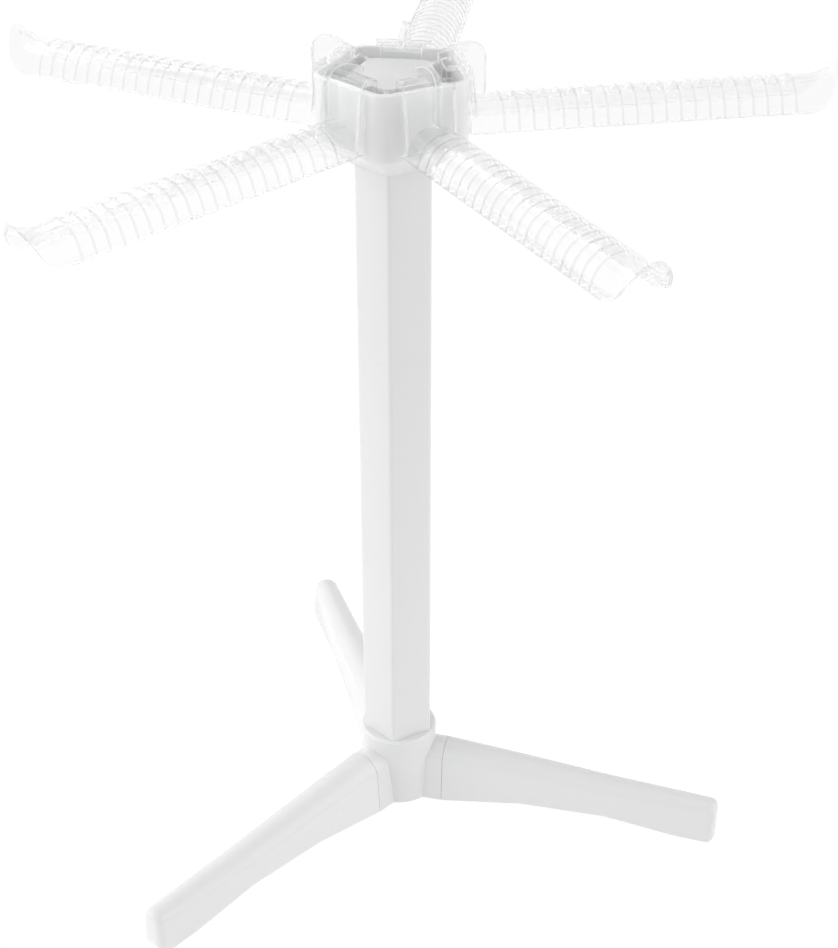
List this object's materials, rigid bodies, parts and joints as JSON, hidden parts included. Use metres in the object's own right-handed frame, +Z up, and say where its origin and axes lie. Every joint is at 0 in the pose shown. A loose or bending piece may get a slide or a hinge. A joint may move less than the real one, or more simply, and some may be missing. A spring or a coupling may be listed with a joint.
{
  "type": "pasta drying rack",
  "caption": "Knock-down countertop pasta drying rack: clear ribbed half-pipe arms hook onto a hub on a sectional column with splayed legs.",
  "frame": {"origin": "on the column's axis, in the plane of the table that the foot pads stand on", "axes": "+Z up along the column; -Y towards the front, along the front arm and the front leg; +X to the right"},
  "size_m": [0.4158, 0.3976, 0.4437],
  "materials": {
    "white_plastic": "moulded, satin",
    "clear_plastic": "clear, polished",
    "soft_pad": "soft, matte"
  },
  "bodies": {
    "base": {"base_hub": "white_plastic"},
    "leg_front": {"leg_front": "white_plastic", "foot_pad_front": "soft_pad"},
    "leg_right": {"leg_right": "white_plastic", "foot_pad_right": "soft_pad"},
    "leg_left": {"leg_left": "white_plastic", "foot_pad_left": "soft_pad"},
    "column_lower": {"column_lower": "white_plastic"},
    "column_middle": {"column_middle": "white_plastic"},
    "column_upper": {"column_upper": "white_plastic"},
    "top_hub": {"top_hub": "white_plastic"},
    "arm_front": {"arm_front": "clear_plastic"},
    "arm_right": {"arm_right": "clear_plastic"},
    "arm_rear_right": {"arm_rear_right": "clear_plastic"},
    "arm_rear_left": {"arm_rear_left": "clear_plastic"},
    "arm_left": {"arm_left": "clear_plastic"}
  },
  "joints": [
    {"name": "leg_front_pull", "type": "slide", "parent": "base", "child": "leg_front", "axis": [0, -1, 0], "range_m": [0, 0.016]},
    {"name": "leg_right_pull", "type": "slide", "parent": "base", "child": "leg_right", "axis": [0.866, 0.5, 0], "range_m": [0, 0.016]},
    {"name": "leg_left_pull", "type": "slide", "parent": "base", "child": "leg_left", "axis": [-0.866, 0.5, 0], "range_m": [0, 0.016]},
    {"name": "column_lower_lift", "type": "slide", "parent": "base", "child": "column_lower", "axis": [0, 0, 1], "range_m": [0, 0.017]},
    {"name": "column_middle_lift", "type": "slide", "parent": "column_lower", "child": "column_middle", "axis": [0, 0, 1], "range_m": [0, 0.017]},
    {"name": "column_upper_lift", "type": "slide", "parent": "column_middle", "child": "column_upper", "axis": [0, 0, 1], "range_m": [0, 0.017]},
    {"name": "top_hub_lift", "type": "slide", "parent": "column_upper", "child": "top_hub", "axis": [0, 0, 1], "range_m": [0, 0.017]},
    {"name": "arm_front_lift", "type": "slide", "parent": "top_hub", "child": "arm_front", "axis": [0, 0, 1], "range_m": [0, 0.02]},
    {"name": "arm_right_lift", "type": "slide", "parent": "top_hub", "child": "arm_right", "axis": [0, 0, 1], "range_m": [0, 0.02]},
    {"name": "arm_rear_right_lift", "type": "slide", "parent": "top_hub", "child": "arm_rear_right", "axis": [0, 0, 1], "range_m": [0, 0.02]},
    {"name": "arm_rear_left_lift", "type": "slide", "parent": "top_hub", "child": "arm_rear_left", "axis": [0, 0, 1], "range_m": [0, 0.02]},
    {"name": "arm_left_lift", "type": "slide", "parent": "top_hub", "child": "arm_left", "axis": [0, 0, 1], "range_m": [0, 0.02]}
  ]
}
